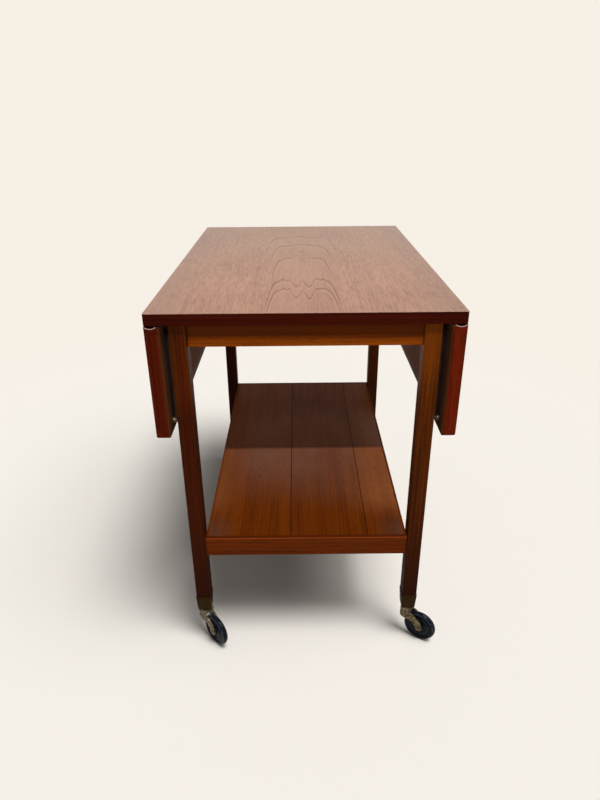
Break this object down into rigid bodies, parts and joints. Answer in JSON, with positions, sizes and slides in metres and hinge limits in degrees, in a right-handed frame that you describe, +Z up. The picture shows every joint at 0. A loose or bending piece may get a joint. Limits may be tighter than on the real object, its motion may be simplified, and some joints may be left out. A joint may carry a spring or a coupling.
{
  "type": "drop leaf tea trolley",
  "caption": "Wooden tea trolley with a veneered top, hanging drop leaves on folding stays, a lower shelf and swivel casters in metal ferrules.",
  "frame": {"origin": "on the floor under the centre of the top", "axes": "+Z up, +Y along the leaf hinges towards the back, +X to the right"},
  "size_m": [0.4568, 0.706, 0.626],
  "materials": {
    "top_veneer": "satin veneer, grain front to back",
    "leaf_veneer": "satin veneer",
    "shelf_veneer": "satin veneer in three leaves",
    "teak": "oiled solid wood",
    "block_beech": "plain",
    "steel": "satin",
    "brass": "aged",
    "ferrule_brass": "dark patina",
    "caster_brass": "aged, worn bright on the edges",
    "wheel_black": "glossy",
    "rubber_pad": "matt"
  },
  "bodies": {
    "frame": {"apron_back": "teak", "apron_front": "teak", "apron_left": "teak", "apron_right": "teak", "corner_blocks": "block_beech", "ferrules": "ferrule_brass", "hinge_seats": "brass", "leg_back_left": "teak", "leg_back_right": "teak", "leg_front_left": "teak", "leg_front_right": "teak", "shelf_lipping_left": "teak", "shelf_lipping_right": "teak", "shelf_panel": "shelf_veneer", "shelf_rail_back": "teak", "shelf_rail_front": "teak", "stay_brackets": "steel", "top_lipping_back": "teak", "top_lipping_front": "teak", "top_lipping_left": "teak", "top_lipping_right": "teak", "top_panel": "top_veneer"},
    "leaf_left": {"bumper_cups_left": "brass", "bumper_pads_left": "rubber_pad", "hinge_arms_left": "brass", "leaf_left_lipping_back": "teak", "leaf_left_lipping_free": "teak", "leaf_left_lipping_front": "teak", "leaf_left_lipping_joint": "teak", "leaf_left_panel": "leaf_veneer", "stay_cleats_left": "brass"},
    "leaf_right": {"bumper_cups_right": "brass", "bumper_pads_right": "rubber_pad", "hinge_arms_right": "brass", "leaf_right_lipping_back": "teak", "leaf_right_lipping_free": "teak", "leaf_right_lipping_front": "teak", "leaf_right_lipping_joint": "teak", "leaf_right_panel": "leaf_veneer", "stay_cleats_right": "brass"},
    "stays_left": {"stays_left": "steel"},
    "stays_right": {"stays_right": "steel"},
    "fork_front_left": {"fork_front_left": "caster_brass"},
    "wheel_front_left": {"wheel_front_left": "wheel_black"},
    "fork_front_right": {"fork_front_right": "caster_brass"},
    "wheel_front_right": {"wheel_front_right": "wheel_black"},
    "fork_back_left": {"fork_back_left": "caster_brass"},
    "wheel_back_left": {"wheel_back_left": "wheel_black"},
    "fork_back_right": {"fork_back_right": "caster_brass"},
    "wheel_back_right": {"wheel_back_right": "wheel_black"}
  },
  "joints": [
    {"name": "leaf_left_hinge", "type": "hinge", "parent": "frame", "child": "leaf_left", "pos_m": [-0.216, 0, 0.617], "axis": [0, 1, 0], "range_deg": [0, 90]},
    {"name": "leaf_right_hinge", "type": "hinge", "parent": "frame", "child": "leaf_right", "pos_m": [0.216, 0, 0.617], "axis": [0, -1, 0], "range_deg": [0, 90]},
    {"name": "stays_left_swing", "type": "hinge", "parent": "frame", "child": "stays_left", "pos_m": [-0.1982, 0, 0.557], "axis": [0, 1, 0], "range_deg": [0, 118.12]},
    {"name": "stays_right_swing", "type": "hinge", "parent": "frame", "child": "stays_right", "pos_m": [0.1982, 0, 0.557], "axis": [0, -1, 0], "range_deg": [0, 118.12]},
    {"name": "caster_front_left_swivel", "type": "hinge", "parent": "frame", "child": "fork_front_left", "pos_m": [-0.1825, -0.311, 0.068], "axis": [0, 0, 1], "continuous": true},
    {"name": "wheel_front_left_roll", "type": "hinge", "parent": "fork_front_left", "child": "wheel_front_left", "pos_m": [-0.16343, -0.33054, 0.0293], "axis": [0.7157, 0.6984, 0], "continuous": true},
    {"name": "caster_front_right_swivel", "type": "hinge", "parent": "frame", "child": "fork_front_right", "pos_m": [0.1825, -0.311, 0.068], "axis": [0, 0, 1], "continuous": true},
    {"name": "wheel_front_right_roll", "type": "hinge", "parent": "fork_front_right", "child": "wheel_front_right", "pos_m": [0.20578, -0.32526, 0.0293], "axis": [0.5225, 0.8526, 0], "continuous": true},
    {"name": "caster_back_left_swivel", "type": "hinge", "parent": "frame", "child": "fork_back_left", "pos_m": [-0.1825, 0.311, 0.068], "axis": [0, 0, 1], "continuous": true},
    {"name": "wheel_back_left_roll", "type": "hinge", "parent": "fork_back_left", "child": "wheel_back_left", "pos_m": [-0.16253, 0.32962, 0.0293], "axis": [-0.682, 0.7314, 0], "continuous": true},
    {"name": "caster_back_right_swivel", "type": "hinge", "parent": "frame", "child": "fork_back_right", "pos_m": [0.1825, 0.311, 0.068], "axis": [0, 0, 1], "continuous": true},
    {"name": "wheel_back_right_roll", "type": "hinge", "parent": "fork_back_right", "child": "wheel_back_right", "pos_m": [0.16343, 0.33054, 0.0293], "axis": [-0.7157, -0.6984, 0], "continuous": true}
  ],
  "couplings": [
    {"joint": "stays_left_swing", "follows": "leaf_left_hinge", "ratio": 1.3123},
    {"joint": "stays_right_swing", "follows": "leaf_right_hinge", "ratio": 1.3123}
  ]
}
